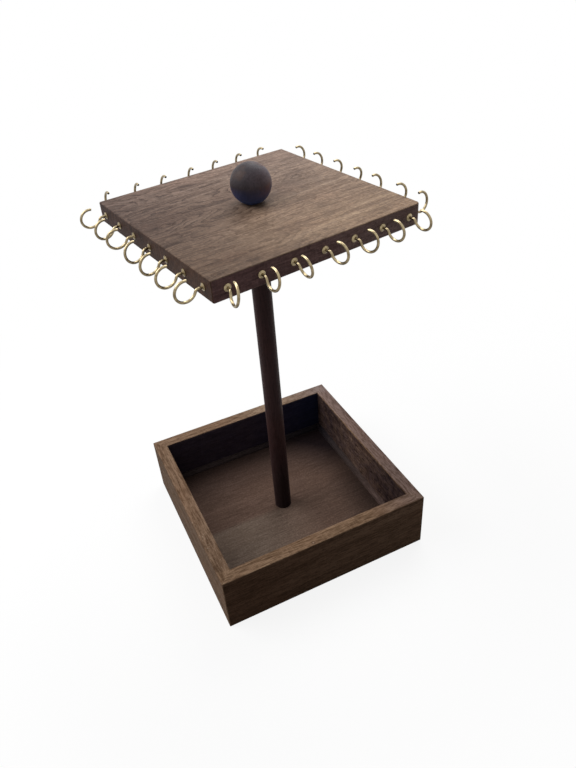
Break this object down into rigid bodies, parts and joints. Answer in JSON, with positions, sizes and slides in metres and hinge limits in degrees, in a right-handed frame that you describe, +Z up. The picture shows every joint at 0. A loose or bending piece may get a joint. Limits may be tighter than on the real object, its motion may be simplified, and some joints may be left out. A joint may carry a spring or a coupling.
{
  "type": "jewellery stand",
  "caption": "Jewellery stand: a square wooden top with brass cup hooks on its edges turns on a round post above an open square tray, with a ball over the pivot.",
  "frame": {"origin": "middle of the tray at table level", "axes": "+Z up along the post, X and Y along the tray's sides; the top stands turned 9.7 degrees from them at rest"},
  "size_m": [0.2083, 0.2085, 0.3212],
  "materials": {
    "tray_wood": "dark walnut stain, satin",
    "bead_wood": "dark walnut stain, satin",
    "floor_wood": "stained plywood, satin",
    "post_wood": "near-black stain, satin",
    "top_wood": "walnut stain, satin",
    "ball_wood": "near-black stain, satin",
    "hook_brass": "bright pale brass",
    "steel": "zinc plated",
    "washer_plastic": "black nylon"
  },
  "bodies": {
    "stand": {"front_wall": "tray_wood", "right_wall": "tray_wood", "back_wall": "tray_wood", "left_wall": "tray_wood", "front_bead": "bead_wood", "right_bead": "bead_wood", "back_bead": "bead_wood", "left_bead": "bead_wood", "floor_panel": "floor_wood", "post": "post_wood", "foot_screw": "steel", "foot_washer": "steel", "post_washer": "steel", "cap_washer": "washer_plastic", "pivot_rod": "steel", "ball": "ball_wood"},
    "top": {"square_top": "top_wood", "hook_front_1": "hook_brass", "hook_front_2": "hook_brass", "hook_front_3": "hook_brass", "hook_front_4": "hook_brass", "hook_front_5": "hook_brass", "hook_front_6": "hook_brass", "hook_front_7": "hook_brass", "hook_right_1": "hook_brass", "hook_right_2": "hook_brass", "hook_right_3": "hook_brass", "hook_right_4": "hook_brass", "hook_right_5": "hook_brass", "hook_right_6": "hook_brass", "hook_right_7": "hook_brass", "hook_back_1": "hook_brass", "hook_back_2": "hook_brass", "hook_back_3": "hook_brass", "hook_back_4": "hook_brass", "hook_back_5": "hook_brass", "hook_back_6": "hook_brass", "hook_back_7": "hook_brass", "hook_left_1": "hook_brass", "hook_left_2": "hook_brass", "hook_left_3": "hook_brass", "hook_left_4": "hook_brass", "hook_left_5": "hook_brass", "hook_left_6": "hook_brass", "hook_left_7": "hook_brass"}
  },
  "joints": [
    {"name": "top_spin", "type": "hinge", "parent": "stand", "child": "top", "pos_m": [0, 0, 0.2811], "axis": [0, 0, 1], "continuous": true}
  ]
}
